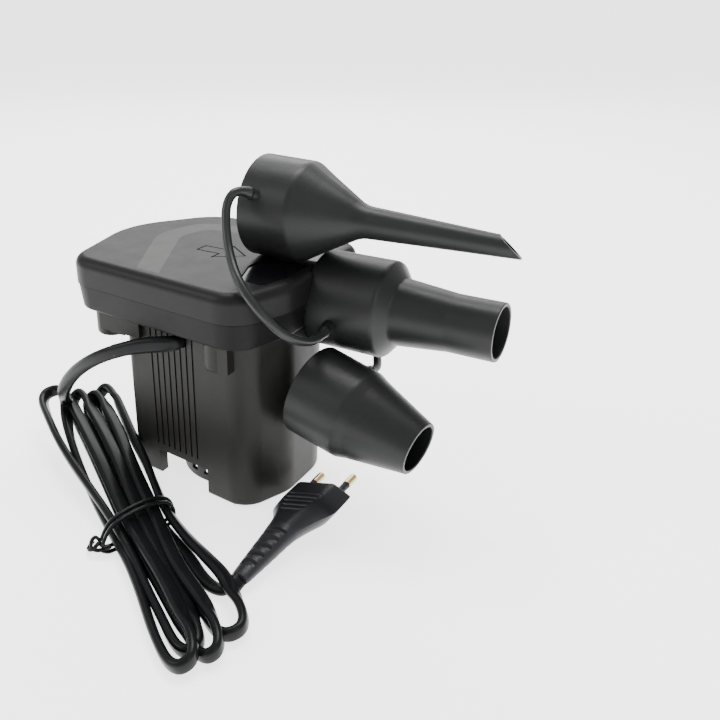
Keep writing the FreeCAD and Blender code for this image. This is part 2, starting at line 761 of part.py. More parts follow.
def plug_pins():
    pins = []
    for side in (-1, 1):
        x = side * PIN_SPACING / 2
        core = rod(1.5, vec(x, -9, 0), vec(x, PIN_LENGTH - 8, 0))
        tip = rod(PIN_RADIUS, vec(x, PIN_LENGTH - 9, 0), vec(x, PIN_LENGTH, 0))
        tip = tip.makeFillet(1.6, [edge for edge in tip.Edges
                                   if abs(edge.BoundBox.YMin - PIN_LENGTH) < 1e-4])
        pins.append(laid_plug(core.fuse(tip).removeSplitter()))
    return group(pins)


def pin_sleeves():
    sleeves = []
    for side in (-1, 1):
        x = side * PIN_SPACING / 2
        sleeve = rod(SLEEVE_RADIUS, vec(x, 0, 0), vec(x, PIN_LENGTH - 9, 0))
        sleeves.append(laid_plug(sleeve.cut(rod(1.5, vec(x, -1, 0), vec(x, PIN_LENGTH, 0)))))
    return group(sleeves)


PLUG_TAIL = (58.8, -87.5, 5.0)


def plug_relief():
    """A ribbed, tapered tail from the plug down to the cord on the floor."""
    root = vec(PLUG_X, PLUG_FACE_Y - 36, PLUG_Z)
    tail = vec(*PLUG_TAIL)
    way = tail - root
    length = way.Length
    cone = Part.makeCone(6.2, 3.6, length, root, way)
    ribs = []
    for index in range(5):
        along = 0.14 + 0.17 * index
        spot = root + way * along
        radius = 6.2 - 2.6 * along
        band = Part.makeCylinder(radius + 1, 1.3, spot, way)
        core = Part.makeCylinder(radius - 0.9, 1.5, spot - way * 0.005, way)
        ribs.append(band.cut(core))
    return remove(cone, ribs).cut(plug_body())


# Nozzles and straps

STEPPED_PLACE = aimed(vec(RECESS_BACK + 0.3, OUTLET_Y, OUTLET_Z), X)
NEEDLE_BASE_RADIUS = 23.6
NEEDLE_PLACE = aimed(vec(9.8, 12.0, HEAD_TOP + NEEDLE_REST_GAP + NEEDLE_BASE_RADIUS), vec(1, 0, -0.018))
CONE_PLACE = aimed(vec(50.0, -9.8, 60.0), vec(0.975, -0.117, -0.189))

NEEDLE_STRAP_ROUTE = [
    (17.0, -9.9, 149.4),
    (14.0, -15.5, 152.4),
    (12.0, -21.5, 147.8),
    (14.4, -26.5, 138.5),
    (21.8, -34.5, 128.0),
    (33.6, -44.0, 119.2),
    (45.2, -45.0, 108.6),
    (52.4, -39.0, 98.4),
    (56.6, -27.4, 92.0),
    (56.6, -16.5, 90.4),
    (55.6, -9.3, 91.0),
]
CONE_STRAP_ROUTE = [
    (70.0, 18.0, 71.6),
    (70.2, 18.6, 67.2),
    (68.6, 21.6, 62.6),
    (64.2, 23.4, 60.0),
    (59.4, 21.6, 59.2),
    (57.6, 16.6, 59.0),
    (57.6, 12.4, 59.0),
]
STRAP_RADIUS = 2.0
NEEDLE_STRAP_GAP = 0.4
CONE_STRAP_GAP = 1.6
TIP_SLOPE = 36.0
TIP_ROLL = -20.0


def shell_profile(outer, inner):
    return outer + inner[::-1]


def strap_nub(end, following, depth, gap):
    """The round nub that a strap's end meets, in line with the strap's first run."""
    out = (vec(*following) - vec(*end)).normalize()
    return rod(3.0, vec(*end) - out * depth, vec(*end) - out * gap)


def stepped_nozzle():
    outer = [(0, 22.9, 0.6), (34.5, 22.9, 2.8), (40, 15.9, 2.2), (65, 13.4, 6), (87, 13.4, 0.5)]
    inner = [(0, SOCKET_RADIUS, 0.5), (33, SOCKET_RADIUS, 1.5), (38.5, 13.2, 2.5),
             (65, 11.6, 6), (87, 11.6, 0.5)]
    nozzle = spin(shell_profile(outer, inner), STEPPED_PLACE)
    nubs = [strap_nub(NEEDLE_STRAP_ROUTE[-1], NEEDLE_STRAP_ROUTE[-2], 7.0, NEEDLE_STRAP_GAP),
            strap_nub(CONE_STRAP_ROUTE[0], CONE_STRAP_ROUTE[1], 3.5, CONE_STRAP_GAP)]
    return join([nozzle] + nubs).cut(rod(SOCKET_RADIUS, *socket_line(STEPPED_PLACE, 30)))


def needle_nozzle():
    outer = [(0, NEEDLE_BASE_RADIUS, 0.6), (25, NEEDLE_BASE_RADIUS - 0.45, 5), (34.5, 17.6, 10),
             (53, 7.4, 16), (124.7, 4.2, 0.3)]
    inner = [(0, SOCKET_RADIUS, 0.5), (24, SOCKET_RADIUS, 4), (33, 14.8, 8), (53, 5.4, 12),
             (124.7, 2.8, 0.3)]
    nozzle = spin(shell_profile(outer, inner), NEEDLE_PLACE)
    nub = strap_nub(NEEDLE_STRAP_ROUTE[0], NEEDLE_STRAP_ROUTE[1], 4.0, 0)
    wedge = Part.makeBox(40, 20, 20, vec(0, -10, 0))
    turn = FreeCAD.Rotation(X, TIP_ROLL).multiply(FreeCAD.Rotation(Y, TIP_SLOPE))
    wedge.Placement = NEEDLE_PLACE.multiply(FreeCAD.Placement(vec(114.0, 0, 4.6), turn))
    return join([nozzle, nub]).cut(wedge).cut(rod(SOCKET_RADIUS, *socket_line(NEEDLE_PLACE, 21)))


def cone_nozzle():
    outer = [(0, 22.2, 0.6), (26.5, 21.8, 5), (31.5, 20.0, 5), (59.5, 12.6, 0.5)]
    inner = [(0, SOCKET_RADIUS, 0.5), (26, SOCKET_RADIUS, 4), (33, 16.8, 4), (59.5, 10.8, 0.5)]
    nozzle = spin(shell_profile(outer, inner), CONE_PLACE)
    nub = strap_nub(CONE_STRAP_ROUTE[-1], CONE_STRAP_ROUTE[-2], 4.0, 0)
    return join([nozzle, nub]).cut(rod(SOCKET_RADIUS, *socket_line(CONE_PLACE, 22)))


def socket_line(place, depth):
    """The two ends of a nozzle's socket bore."""
    return place.multVec(vec(-2, 0, 0)), place.multVec(vec(depth, 0, 0))


def needle_strap():
    return route_tube(NEEDLE_STRAP_ROUTE, STRAP_RADIUS, "needle strap")


def cone_strap():
    return route_tube(CONE_STRAP_ROUTE, STRAP_RADIUS, "cone strap")


def all_nodes():
    holders, blocks, springs = brush_parts()
    return {
        "motor_housing": motor_housing(),
        "foot_pads": foot_pads(),
        "inlet_grille": inlet_grille(),
        "head_tray": head_tray(),
        "head_gasket": head_gasket(),
        "top_cover": top_cover(),
        "cover_band": cover_band(),
        "outlet_panel": outlet_panel(),
        "cover_screws": cover_screws(),
        "motor_can": motor_can(),
        "motor_end_bell": end_bell(),
        "field_magnets": field_magnets(),
        "upper_bearing": bearing(74.8, 79.6),
        "lower_bearing": bearing(22.2, 27.0),
        "brush_holders": holders,
        "carbon_brushes": blocks,
        "brush_springs": springs,
        "motor_shaft": motor_shaft(),
        "armature_core": armature_core(),
        "armature_winding": armature_winding(),
        "commutator": commutator(),
        "impeller": impeller(),
        "impeller_nut": impeller_nut(),
        "motor_bracket": motor_bracket(),
        "motor_screws": motor_screws(),
        "bracket_screws": bracket_screws(),
        "rectifier_board": rectifier_board(),
        "board_posts": board_posts(),
        "bridge_diodes": bridge_diodes(),
        "suppression_capacitor": suppression_capacitor(),
        "thermal_fuse": thermal_fuse(),
        "mains_wires": mains_wires(),
        "motor_wires": motor_wires(),
        "cord_boot": cord_boot(),
        "cord_lead": cord_lead(),
        "cord_hank": cord_hank(),
        "cord_tie": cord_tie(),
        "plug_relief": plug_relief(),
        "plug_body": plug_body(),
        "pin_sleeves": pin_sleeves(),
        "plug_pins": plug_pins(),
        "stepped_nozzle": stepped_nozzle(),
        "needle_nozzle": needle_nozzle(),
        "cone_nozzle": cone_nozzle(),
        "needle_strap": needle_strap(),
        "cone_strap": cone_strap(),
    }


def main():
    os.makedirs("parts", exist_ok=True)
    for name, shape in all_nodes().items():
        if not shape.isValid() or shape.Volume <= 0:
            print("bad shape:", name, shape.isValid(), shape.Volume)
        print("%-24s solids %2d volume %9.1f" % (name, len(shape.Solids), shape.Volume))
        shape.exportStep(os.path.join("parts", name + ".step"))


main()
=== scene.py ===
import math

import bmesh
import bpy
from mathutils import Matrix, Vector


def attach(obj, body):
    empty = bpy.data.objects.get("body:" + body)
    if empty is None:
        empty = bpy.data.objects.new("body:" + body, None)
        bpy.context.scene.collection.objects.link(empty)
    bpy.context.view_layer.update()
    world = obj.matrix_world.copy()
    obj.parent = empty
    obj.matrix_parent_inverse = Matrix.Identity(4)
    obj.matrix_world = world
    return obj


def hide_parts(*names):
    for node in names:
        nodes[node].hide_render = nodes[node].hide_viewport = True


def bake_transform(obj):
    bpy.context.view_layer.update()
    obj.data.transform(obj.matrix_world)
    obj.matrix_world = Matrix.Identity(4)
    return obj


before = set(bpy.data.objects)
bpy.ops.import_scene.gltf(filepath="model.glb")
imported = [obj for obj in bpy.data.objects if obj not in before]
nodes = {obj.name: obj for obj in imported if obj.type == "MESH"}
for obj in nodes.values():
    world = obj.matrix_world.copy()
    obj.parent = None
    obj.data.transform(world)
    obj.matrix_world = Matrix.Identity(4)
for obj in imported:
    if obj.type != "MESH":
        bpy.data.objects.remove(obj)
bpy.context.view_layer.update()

MM = 0.001

# Camera
CAMERA_PLACE = (0.2201, -0.3161, 0.2406)
CAMERA_RIGHT = (0.8491, 0.5281, -0.0056)
CAMERA_UP = (-0.2281, 0.3763, 0.8980)
CAMERA_LENS = 41.52
CAMERA_SHIFT = (0.1201, 0.0167)

# Cord: a flat twin lead
CORD_WIDTH = 7.0
CORD_THICK = 4.0

# The cord's route from the boot to the hank, in millimetres, as in the CAD model. The spline
# turns into the hank through HANK_ENTRY instead of the route's last point.
CORD_ROUTE = [
    (-20.5, -46.5, 80.6),
    (-32.0, -51.0, 77.2),
    (-45.5, -53.0, 70.6),
    (-59.5, -51.5, 61.0),
    (-72.0, -48.0, 50.0),
    (-82.0, -43.5, 38.6),
    (-88.0, -38.0, 30.5),
    (-91.5, -33.0, 25.0),
]

# The hank's own directions, as in the CAD model
HANK_START = Vector((-104, -27, 0))
HANK_ALONG = Vector((0.821, -0.571, 0))
HANK_ACROSS = Vector((0.571, 0.821, 0))
UP = Vector((0, 0, 1))

# Where the lead turns under itself into the hank: along, across, height
HANK_ENTRY = [(14.5, 1.6, 26.5), (13.5, 1.4, 21.8), (20, 0.0, 18.6)]
HANK_ENTRY_WIDE = [-HANK_ACROSS, -HANK_ACROSS, UP * 0.4 - HANK_ACROSS * 0.8]
LEAD_LEAN = 0.9
CORD_STEPS = 6

# The strands of the hank in the cord's order. Each goes from its far end to its near end as
# (along, across, height), with its lean to the left in degrees at the far end and the near end.
STRANDS = [
    (14, 14, [(36, -2.2, 17), (60, -2, 11), (84, -0.5, 5.8), (110, 1.2, 4.1), (135, 3.2, 4.0),
              (158, 3.0, 4.0), (180, 1.6, 4.0)]),
    (72, 72, [(20, 5.0, 22), (38, 6.0, 20.4), (58, 7.0, 18), (82, 8.4, 13.4), (110, 9.2, 9.8),
              (135, 11.4, 9.6), (160, 13.4, 9.4), (181, 13.6, 9.0)]),
    (16, 16, [(20, -9.7, 20), (42, -8.7, 18), (62, -5.8, 15), (84, -1.4, 11.4), (110, 2.8, 9),
              (135, 6.0, 5), (160, 6.2, 4.2), (178, 7.0, 4.0)]),
    (74, 72, [(22, 13.8, 20.5), (40, 15.0, 19), (58, 15.8, 17), (82, 16.0, 13.2), (110, 15.9, 9.8),
              (135, 16.8, 8.4), (160, 17.2, 7.2), (180, 18.0, 6.4)]),
    (72, 70, [(24, 6.0, 14), (42, 7.2, 11.5), (60, 8.0, 9), (84, 9.0, 5.4), (110, 9.3, 3.7),
              (135, 11.0, 3.6), (160, 12.4, 3.6), (181, 13.4, 3.6)]),
    (74, 74, [(24, 22.0, 20.5), (44, 22.8, 18), (64, 22.2, 15), (86, 22.0, 12.2), (110, 22.4, 9.8),
              (133, 21.2, 9.4), (156, 21.0, 9.4), (178, 24.2, 8.4)]),
    (70, 70, [(24, 13.0, 13.5), (42, 14.0, 11), (60, 15.0, 8.5), (84, 16.0, 5), (110, 16.2, 3.7),
              (135, 18.0, 3.6), (158, 20.4, 3.6), (173, 23.4, 3.8)]),
    (-8, 70, [(16, 29.2, 21), (36, 28.8, 19), (54, 28.4, 16.8), (73, 29.2, 13.6), (92, 28.8, 10.2),
              (110, 28.4, 7.6), (132, 31.0, 7), (150, 34.8, 7.2), (164, 37.6, 7.4),
              (174, 37.8, 6.4)]),
    (70, 75, [(26, 20.0, 12.5), (44, 21.0, 10), (62, 21.8, 7.5), (84, 22.6, 4.6), (110, 23.0, 3.7),
              (128, 26.0, 3.6)]),
]
# A strand's lean changes from its far value to its near one between these distances along
LEAN_CHANGES = (60, 160)
# The fold after each strand: how far along it reaches, and the height in its middle
FOLDS = [
    (205.5, 5.6), (-8.0, 22.0), (198.5, 4.4), (-1.5, 20.0), (204.0, 5.0), (2.5, 19.0),
    (196.5, 4.6), (-1.0, 20.0),
]
FOLD_DEPTH = 13.0
FOLD_NOD = 0.05
FOLD_STEPS = 7
FOLD_POINTEDNESS = 1.3
NEAR_FOLD_LEAN = 12
FAR_FOLD_LEAN = 30
# From the hank to the plug's tail
PLUG_LEAD = [
    (144, 29.2, 3.2), (155, 29.6, 3.0), (164.5, 31.4, 3.0), (170.4, 35.6, 3.0), (171.0, 39.6, 3.6),
]
PLUG_LEAD_LEAN = 75
TAIL_LEAN = 80
BEHIND_TAIL = 3
INSIDE_TAIL = 6

# The moulded plug: its tail, where its body starts, and the middle of its face
PLUG_TAIL = Vector((58.8, -87.5, 5.0))
PLUG_ROOT = Vector((60.5, -55.0, 9.6))
PLUG_FACE = Vector((60.5, -19.0, 9.6))
PLUG_ROLL = math.radians(-16)
# The plug's outline from its face back: distance, half width, half thickness
PLUG_OUTLINE = [
    (0.0, 16.4, 5.8), (0.3, 17.5, 6.8), (3.0, 17.6, 6.85), (9.0, 17.6, 6.85), (15.0, 17.6, 6.85),
    (18.0, 16.6, 6.85), (22.0, 13.8, 6.8), (27.0, 10.6, 6.6), (33.0, 8.4, 6.2), (40.0, 7.2, 5.6),
    (50.0, 6.2, 5.0), (60.0, 5.3, 4.1), (68.0, 4.7, 3.3), (68.8, 4.2, 2.9),
]
# Rows of grooves: the first one's distance, the step, how many, half width, depth
GRIP_GROOVES = (12.0, 3.4, 5, 0.7, 0.6)
RELIEF_SLOTS = (40.5, 5.2, 5, 1.3, 1.5)
GROOVE_SIDE = 0.35
GRIP_REACH = 0.5
SLOT_REACH = 0.78
# The plug's flat share, where its hexagon starts to turn into an oval, and how far that takes
FLAT_SHARE = 0.57
ROUND_FROM = 15
ROUND_OVER = 22
LEAST_ROUND = 0.08
PLUG_CREASE = math.radians(28)

# The sleeve where the cord leaves the housing: point, width, thickness
SLEEVE = [
    ((-6.0, -36.6, 82.3), 6.4, 5.6),
    ((-6.4, -40.0, 82.3), 7.4, 5.6),
    ((-11.5, -43.8, 82.1), 8.0, 5.4),
    ((-20.5, -46.6, 80.6), 7.8, 5.0),
    ((-28.0, -49.4, 78.4), 7.2, 4.5),
    ((-35.5, -51.4, 75.8), 6.4, 3.5),
]
# The wire tie round the hank: along, across, height
TIE_LOOP = [
    (119.0, -4.6, 6.2), (117.8, -2.6, 10.4), (115.6, 2.0, 13.8), (113.0, 8.5, 14.9),
    (110.0, 17.0, 14.9), (107.4, 25.0, 14.0), (106.2, 31.0, 11.2), (106.6, 33.2, 6.4),
    (108.6, 31.0, 1.6), (111.0, 24.0, 0.6), (114.0, 13.0, 0.6), (117.0, 1.0, 0.7),
    (119.6, -3.4, 2.2), (120.2, -5.4, 4.6),
]
TIE_TAILS = [
    [(119.4, -5.4, 5.4), (121.4, -7.0, 6.2), (121.8, -9.0, 4.4), (119.4, -10.6, 3.0),
     (116.4, -10.0, 2.4), (114.4, -7.8, 3.0)],
    [(119.2, -5.0, 5.6), (117.0, -6.2, 7.6), (116.8, -8.4, 6.2), (118.8, -9.8, 4.6),
     (121.6, -8.8, 3.6), (123.6, -5.6, 4.0), (124.4, -1.6, 5.6)],
]
# How far the tie's second turn lies from its first: along, across, height
TIE_SECOND = (4.4, -0.4, 0.2)
TIE_WIDTH = 2.4
TIE_THICK = 1.5

NEEDLE_STRAP_ROUTE = [
    (17.0, -9.9, 149.4),
    (14.0, -15.5, 152.4),
    (12.0, -21.5, 147.8),
    (14.4, -26.5, 138.5),
    (21.8, -34.5, 128.0),
    (33.6, -44.0, 119.2),
    (45.2, -45.0, 108.6),
    (52.4, -39.0, 98.4),
    (56.6, -27.4, 92.0),
    (56.6, -16.5, 90.4),
    (55.6, -9.3, 91.0),
]
CONE_STRAP_ROUTE = [
    (70.0, 18.0, 73.2),
    (70.0, 18.0, 71.6),
    (70.2, 18.6, 67.2),
    (68.6, 21.6, 62.6),
    (64.2, 23.4, 60.0),
    (59.4, 21.6, 59.2),
    (57.6, 16.6, 59.0),
    (57.6, 12.4, 59.0),
]
STRAP_RADIUS = 2.05
STRAP_FLARE = 0.55
STRAP_FLARE_SHARE = 0.06


# Shapes

def mesh_object(name, verts, faces, smooth=True):
    mesh = bpy.data.meshes.new(name)
    mesh.from_pydata([tuple(v) for v in verts], [], faces)
    mesh.validate()
    mesh.polygons.foreach_set("use_smooth", [smooth] * len(mesh.polygons))
    obj = bpy.data.objects.new(name, mesh)
    bpy.context.scene.collection.objects.link(obj)
    return obj


def smooth_line(points, name, steps=8):
    """Points in metres along a NURBS spline that has the given points, in millimetres, as controls."""
    curve = bpy.data.curves.new(name, "CURVE")
    curve.dimensions = "3D"
    curve.resolution_u = steps
    spline = curve.splines.new("NURBS")
    spline.points.add(len(points) - 1)
    for place, point in zip(spline.points, points):
        place.co = (point[0] * MM, point[1] * MM, point[2] * MM, 1)
    spline.order_u = 3
    spline.use_endpoint_u = True
    holder = bpy.data.objects.new(name, curve)
    mesh = bpy.data.meshes.new_from_object(holder)
    line = [v.co.copy() for v in mesh.vertices]
    bpy.data.objects.remove(holder)
    bpy.data.meshes.remove(mesh)
    return line


def tangents(line):
    """The line's direction at each of its points."""
    ways = []
    for index in range(len(line)):
        before = line[max(index - 1, 0)]
        after = line[min(index + 1, len(line) - 1)]
        ways.append((after - before).normalized())
    return ways


def tube(name, line, section):
    """A closed tube along a line. section(index, way) gives the ring's offsets from the line."""
    ways = tangents(line)
    verts = []
    count = 0
    for index, (point, way) in enumerate(zip(line, ways)):
        offsets = section(index, way)
        count = len(offsets)
        verts.extend(point + offset for offset in offsets)
    faces = []
    for ring in range(len(line) - 1):
        for step in range(count):
            a = ring * count + step
            b = ring * count + (step + 1) % count
            faces.append((a, b, b + count, a + count))
    faces.append(tuple(reversed(range(count))))
    last = (len(line) - 1) * count
    faces.append(tuple(range(last, last + count)))
    return mesh_object(name, verts, faces)


def flat_section(way, wide, width, thick, sides=24):
    """A rounded flat section whose width runs towards wide, in metres."""
    wide = (wide - way * wide.dot(way)).normalized()
    side = way.cross(wide).normalized()
    offsets = []
    straight = (width - thick) / 2
    for step in range(sides):
        angle = 2 * math.pi * (step + 0.5) / sides
        rise = math.sin(angle) * thick / 2 + math.copysign(straight, math.sin(angle))
        offsets.append((side * math.cos(angle) * thick / 2 + wide * rise) * MM)
    return offsets


def round_section(way, radius, sides=16):
    """A round section, in metres."""
    side = way.cross(Vector((0.31, 0.12, 0.94))).normalized()
    up = side.cross(way).normalized()
    offsets = []
    for step in range(sides):
        angle = 2 * math.pi * step / sides
        offsets.append((side * math.cos(angle) + up * math.sin(angle)) * radius * MM)
    return offsets


def hank_point(along, across, height):
    """A point in millimetres from its place in the hank's own directions."""
    spot = HANK_START + HANK_ALONG * along + HANK_ACROSS * across
    return (spot.x, spot.y, height)


def leaning(degrees, nod=0.0):
    """The way that the cord's width points: up, leaning to the left and towards the near end."""
    turn = math.radians(degrees)
    level = HANK_ALONG * nod - HANK_ACROSS * math.sin(turn)
    return level + UP * math.cos(turn)


def fold_points(start, end, reach, height, lean):
    """The turn at one end of the hank, from one strand's last point to the next one's first."""
    back = -1 if reach > start[0] else 1
    points = []
    for step in range(FOLD_STEPS):
        angle = math.pi * step / (FOLD_STEPS - 1)
        side = (1 - math.cos(angle)) / 2
        along = reach + back * FOLD_DEPTH * (1 - math.sin(angle)) ** FOLD_POINTEDNESS
        across = start[1] + (end[1] - start[1]) * side
        level = start[2] + (end[2] - start[2]) * side
        level += (height - (start[2] + end[2]) / 2) * math.sin(angle)
        points.append((hank_point(along, across, level), leaning(lean, FOLD_NOD)))
    return points


def strand_lean(along, far_lean, near_lean):
    """A strand's lean in degrees at this distance along the hank."""
    start, end = LEAN_CHANGES
    share = min(1, max(0, (along - start) / (end - start)))
    return far_lean + (near_lean - far_lean) * share


def hank_stations():
    """The points of the hank's strands and folds, each with the way that the width points."""
    stations = []
    heading = 1
    for index, (far_lean, near_lean, strand) in enumerate(STRANDS):
        run = strand[::heading]
        for point in run:
            lean = strand_lean(point[0], far_lean, near_lean)
            stations.append((hank_point(*point), leaning(lean)))
        if index < len(FOLDS):
            reach, height = FOLDS[index]
            following = STRANDS[index + 1][2][::-heading]
            lean = NEAR_FOLD_LEAN if heading > 0 else FAR_FOLD_LEAN
            stations.extend(fold_points(run[-1], following[0], reach, height, lean))
        heading = -heading
    return stations


def cord_stations():
    """The whole cord's points in millimetres, each with the way that the width points."""
    stations = []
    for index, point in enumerate(CORD_ROUTE[:-1]):
        share = index / (len(CORD_ROUTE) - 2)
        stations.append((point, UP - HANK_ACROSS * LEAD_LEAN * min(1, 2 * share)))
    for point, wide in zip(HANK_ENTRY, HANK_ENTRY_WIDE):
        stations.append((hank_point(*point), wide))
    stations.extend(hank_stations())
    for point in PLUG_LEAD:
        stations.append((hank_point(*point), leaning(PLUG_LEAD_LEAN)))
    into = (PLUG_ROOT - PLUG_TAIL).normalized()
    stations.append((tuple(PLUG_TAIL - into * BEHIND_TAIL), leaning(TAIL_LEAN)))
    stations.append((tuple(PLUG_TAIL + into * INSIDE_TAIL), leaning(TAIL_LEAN)))
    return stations


def mains_cord():
    """The cord's mesh, and the points of the spline that it follows."""
    stations = cord_stations()
    line = smooth_line([point for point, wide in stations], "cord_line", CORD_STEPS)
    wides = smooth_line([tuple(wide / MM) for point, wide in stations], "cord_twist", CORD_STEPS)
    cord = tube("mains_cord", line,
                lambda index, way: flat_section(way, wides[index], CORD_WIDTH, CORD_THICK))
    return cord, line


def cord_sleeve():
    """The tapered sleeve that the cord leaves the housing through."""
    line = smooth_line([point for point, width, thick in SLEEVE], "sleeve_line", 10)
    sizes = smooth_line([(width, thick, 0) for point, width, thick in SLEEVE], "sleeve_sizes", 10)
    return tube("cord_sleeve", line, lambda index, way: flat_section(
        way, UP, sizes[index].x / MM, sizes[index].y / MM, 28))


def wire_tie():
    """The tie: two turns round the hank and two twisted tails, one mesh."""
    pieces = []
    second = [tuple(a + b for a, b in zip(point, TIE_SECOND)) for point in TIE_LOOP]
    for number, points in enumerate([TIE_LOOP, second] + TIE_TAILS):
        line = smooth_line([hank_point(*point) for point in points], "tie_line", 8)
        pieces.append(tube("tie_part_%d" % number, line, lambda index, way: flat_section(
            way, HANK_ALONG + UP * 0.2, TIE_WIDTH, TIE_THICK, 16)))
    return joined("wire_tie", pieces)


def groove_depth(distance, grooves):
    """How deep a row of grooves is at this distance from the plug's face."""
    first, step, count, half, depth = grooves
    number = min(count - 1, max(0, round((distance - first) / step)))
    inside = half - abs(distance - first - number * step)
    return depth * min(1, max(0, inside / GROOVE_SIDE))


def plug_section(distance, half_width, half_thick, sides=64):
    """A hexagon at the plug's face that turns into an oval at the cord."""
    roundness = min(1, max(LEAST_ROUND, (distance - ROUND_FROM) / ROUND_OVER))
    flat = half_width * FLAT_SHARE
    grip = groove_depth(distance, GRIP_GROOVES)
    slot = groove_depth(distance, RELIEF_SLOTS)
    offsets = []
    for step in range(sides):
        angle = 2 * math.pi * step / sides
        way = Vector((half_width * math.cos(angle), half_thick * math.sin(angle))).normalized()
        level = abs(way.x) / half_width
        rise = abs(way.y)
        slant = 1 / (level + rise * (half_width - flat) / (half_width * half_thick))
        hexagon = min(slant, half_thick / rise) if rise > 1e-6 else slant
        oval = 1 / math.hypot(way.x / half_width, way.y / half_thick)
        reach = hexagon * (1 - roundness) + oval * roundness
        x = way.x * reach
        z = way.y * reach
        sunk = grip if abs(x) < GRIP_REACH * half_width else 0
        sunk += slot if abs(x) < SLOT_REACH * half_width else 0
        z -= math.copysign(min(sunk, abs(z)), z)
        offsets.append((x, z))
    return offsets


def mains_plug():
    """The plug's moulded body and its strain relief, one piece."""
    outline = [point / MM for point in smooth_line(PLUG_OUTLINE, "plug_outline", 18)]
    body_length = (PLUG_FACE - PLUG_ROOT).length
    relief = PLUG_TAIL - PLUG_ROOT
    line = []
    for point in outline:
        if point.x <= body_length:
            centre = PLUG_FACE.lerp(PLUG_ROOT, point.x / body_length)
        else:
            centre = PLUG_ROOT + relief * ((point.x - body_length) / relief.length)
        line.append(centre * MM)
    wide = Vector((math.cos(PLUG_ROLL), 0, -math.sin(PLUG_ROLL)))
    high = Vector((math.sin(PLUG_ROLL), 0, math.cos(PLUG_ROLL)))

    def section(index, way):
        return [(wide * x + high * z) * MM for x, z in plug_section(*outline[index])]

    plug = tube("mains_plug", line, section)
    plug.data.set_sharp_from_angle(angle=PLUG_CREASE)
    return plug


def joined(name, pieces):
    """One object from several meshes that share its place."""
    shape = bmesh.new()
    for piece in pieces:
        shape.from_mesh(piece.data)
        bpy.data.objects.remove(piece)
    mesh = bpy.data.meshes.new(name)
    shape.to_mesh(mesh)
    shape.free()
    obj = bpy.data.objects.new(name, mesh)
    bpy.context.scene.collection.objects.link(obj)
    return obj


def strap(name, route):
    """A round tether that widens into its root at both ends."""
    line = smooth_line(route, name + "_line", 10)
    last = len(line) - 1

    def section(index, way):
        near_end = min(index, last - index) / last
        flare = 1 + STRAP_FLARE * max(0, 1 - near_end / STRAP_FLARE_SHARE) ** 2
        return round_section(way, STRAP_RADIUS * flare)

    return tube(name, line, section)


# Materials

class Nodes:
    """A short way to build one material's nodes."""

    def __init__(self, name):
        self.material = bpy.data.materials.new(name)
        self.material.use_nodes = True
        self.tree = self.material.node_tree
        self.shader = self.tree.nodes["Principled BSDF"]
        self.place = self.tree.nodes.new("ShaderNodeTexCoord").outputs["Object"]

    def link(self, out, into):
        self.tree.links.new(out, into)

    def noise(self, scale, detail=3, rough=0.5):
        node = self.tree.nodes.new("ShaderNodeTexNoise")
        node.inputs["Scale"].default_value = scale
        node.inputs["Detail"].default_value = detail
        node.inputs["Roughness"].default_value = rough
        self.link(self.place, node.inputs["Vector"])
        return node.outputs["Fac"]

    def wave(self, scale, direction, distortion=0.0):
        node = self.tree.nodes.new("ShaderNodeTexWave")
        node.bands_direction = direction
        node.inputs["Scale"].default_value = scale
        node.inputs["Distortion"].default_value = distortion
        self.link(self.place, node.inputs["Vector"])
        return node.outputs["Fac"]

    def ramp(self, fac, low, high, start=0.3, end=0.7):
        node = self.tree.nodes.new("ShaderNodeValToRGB")
        node.color_ramp.elements[0].position = start
        node.color_ramp.elements[1].position = end
        node.color_ramp.elements[0].color = (*low, 1)
        node.color_ramp.elements[1].color = (*high, 1)
        self.link(fac, node.inputs["Fac"])
        return node.outputs["Color"]

    def span(self, fac, low, high):
        node = self.tree.nodes.new("ShaderNodeMapRange")
        node.inputs["To Min"].default_value = low
        node.inputs["To Max"].default_value = high
        self.link(fac, node.inputs["Value"])
        return node.outputs["Result"]

    def bump(self, fac, height, strength=1.0, after=None):
        node = self.tree.nodes.new("ShaderNodeBump")
        node.inputs["Strength"].default_value = strength
        node.inputs["Distance"].default_value = height * MM
        self.link(fac, node.inputs["Height"])
        if after is not None:
            self.link(after, node.inputs["Normal"])
        return node.outputs["Normal"]

    def colour(self, out):
        self.link(out, self.shader.inputs["Base Color"])

    def rough(self, out):
        self.link(out, self.shader.inputs["Roughness"])

    def normal(self, out):
        self.link(out, self.shader.inputs["Normal"])

    def set(self, **values):
        for name, value in values.items():
            self.shader.inputs[name.replace("_", " ")].default_value = value
        return self.material


def shade(colour, factor):
    return tuple(min(1.0, c * factor) for c in colour)


def plastic(name, colour, rough, grain=0.03, patch=0.12, grain_scale=2600, gloss=0.24):
    """Moulded plastic: a spark-eroded grain, faint flow patches and uneven gloss."""
    n = Nodes(name)
    broad = n.noise(28, 4)
    n.colour(n.ramp(broad, shade(colour, 1 - patch), shade(colour, 1 + patch)))
    fine = n.noise(grain_scale, 2, 0.6)
    n.rough(n.span(n.noise(90, 5, 0.6), rough - 0.07, rough + 0.07))
    soft = n.bump(broad, 0.05, 0.25)
    n.normal(n.bump(fine, grain, 0.6, soft))
    return n.set(Specular_IOR_Level=gloss)


def rubber(name, colour, rough, grain=0.015, gloss=0.3):
    """Flexible plastic or rubber: smoother, with faint rubbing marks."""
    n = Nodes(name)
    broad = n.noise(60, 5, 0.6)
    n.colour(n.ramp(broad, shade(colour, 0.8), shade(colour, 1.2)))
    n.rough(n.span(n.noise(350, 4, 0.65), rough - 0.08, rough + 0.1))
    n.normal(n.bump(n.noise(1400, 3, 0.6), grain, 0.5))
    return n.set(Specular_IOR_Level=gloss)


